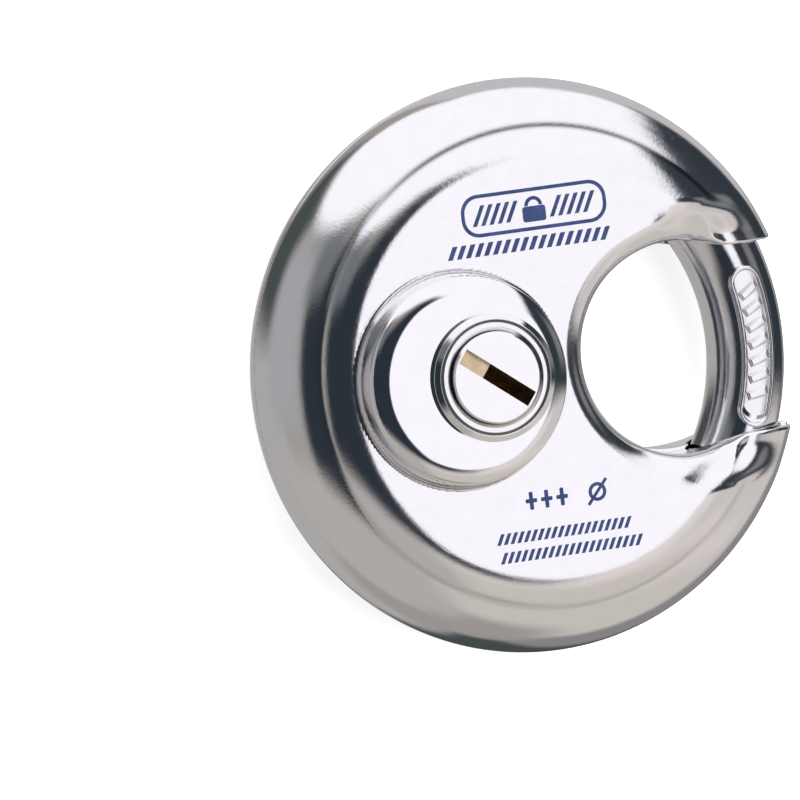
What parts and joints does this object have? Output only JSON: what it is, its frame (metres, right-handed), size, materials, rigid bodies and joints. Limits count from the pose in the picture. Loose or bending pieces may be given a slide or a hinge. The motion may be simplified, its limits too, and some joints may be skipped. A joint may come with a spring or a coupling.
{
  "type": "disc padlock",
  "caption": "Round pressed-steel padlock with a side bite; a key plug in an off-centre boss swings a thick curved bar across the gap.",
  "frame": {"origin": "on the disc axis, in the plane of the flat back face", "axes": "+Z along the disc axis towards the keyhole side; +X from the disc axis through the middle of the bite"},
  "size_m": [0.0684, 0.07, 0.0247],
  "materials": {
    "shell_steel": "fine brushed stainless, near polished",
    "plain_steel": "plain pressed steel",
    "fastener_steel": "zinc plated",
    "hard_steel": "hardened, dark",
    "spring_steel": "bright wire",
    "brass": "turned",
    "plug_nickel": "polished hard face",
    "polished_chrome": "polished",
    "shackle_chrome": "polished hardened steel"
  },
  "bodies": {
    "body": {"front_shell": "shell_steel", "back_shell": "shell_steel", "chassis": "plain_steel", "housing_screws": "fastener_steel", "cylinder_housing": "brass", "chamber_cover": "brass", "drill_guard": "hard_steel", "keyhole_collar": "polished_chrome", "pin_spring_1": "spring_steel", "pin_spring_2": "spring_steel", "pin_spring_3": "spring_steel", "pin_spring_4": "spring_steel"},
    "plug": {"plug": "brass", "plug_cap": "plug_nickel", "plug_clip": "fastener_steel", "cam": "hard_steel", "drive_pin": "hard_steel"},
    "shackle": {"shackle": "shackle_chrome", "shackle_arm": "plain_steel", "arm_rivets": "fastener_steel"},
    "key_pin_1": {"key_pin_1": "brass"},
    "driver_pin_1": {"driver_pin_1": "brass"},
    "key_pin_2": {"key_pin_2": "brass"},
    "driver_pin_2": {"driver_pin_2": "brass"},
    "key_pin_3": {"key_pin_3": "brass"},
    "driver_pin_3": {"driver_pin_3": "brass"},
    "key_pin_4": {"key_pin_4": "brass"},
    "driver_pin_4": {"driver_pin_4": "brass"}
  },
  "joints": [
    {"name": "shackle_swing", "type": "hinge", "parent": "body", "child": "shackle", "pos_m": [0, 0, 0.0094], "axis": [0, 0, 1], "range_deg": [0, 65]},
    {"name": "plug_turn", "type": "hinge", "parent": "body", "child": "plug", "pos_m": [-0.00925, 0, 0.0094], "axis": [0, 0, 1], "range_deg": [0, 180]},
    {"name": "key_pin_1_drop", "type": "slide", "parent": "plug", "child": "key_pin_1", "axis": [0.7934, -0.6088, 0], "range_m": [0, 0.0008]},
    {"name": "driver_pin_1_lift", "type": "slide", "parent": "body", "child": "driver_pin_1", "axis": [-0.7934, 0.6088, 0], "range_m": [0, 0.0009], "stiffness_N_per_m": 60, "springref_m": -0.001, "deforming": ["pin_spring_1"]},
    {"name": "key_pin_2_drop", "type": "slide", "parent": "plug", "child": "key_pin_2", "axis": [0.7934, -0.6088, 0], "range_m": [0, 0.0008]},
    {"name": "driver_pin_2_lift", "type": "slide", "parent": "body", "child": "driver_pin_2", "axis": [-0.7934, 0.6088, 0], "range_m": [0, 0.0009], "stiffness_N_per_m": 60, "springref_m": -0.001, "deforming": ["pin_spring_2"]},
    {"name": "key_pin_3_drop", "type": "slide", "parent": "plug", "child": "key_pin_3", "axis": [0.7934, -0.6088, 0], "range_m": [0, 0.0008]},
    {"name": "driver_pin_3_lift", "type": "slide", "parent": "body", "child": "driver_pin_3", "axis": [-0.7934, 0.6088, 0], "range_m": [0, 0.0009], "stiffness_N_per_m": 60, "springref_m": -0.001, "deforming": ["pin_spring_3"]},
    {"name": "key_pin_4_drop", "type": "slide", "parent": "plug", "child": "key_pin_4", "axis": [0.7934, -0.6088, 0], "range_m": [0, 0.0008]},
    {"name": "driver_pin_4_lift", "type": "slide", "parent": "body", "child": "driver_pin_4", "axis": [-0.7934, 0.6088, 0], "range_m": [0, 0.0009], "stiffness_N_per_m": 60, "springref_m": -0.001, "deforming": ["pin_spring_4"]}
  ],
  "couplings": [
    {"joint": "plug_turn", "follows": "shackle_swing", "ratio": 2.7692}
  ]
}
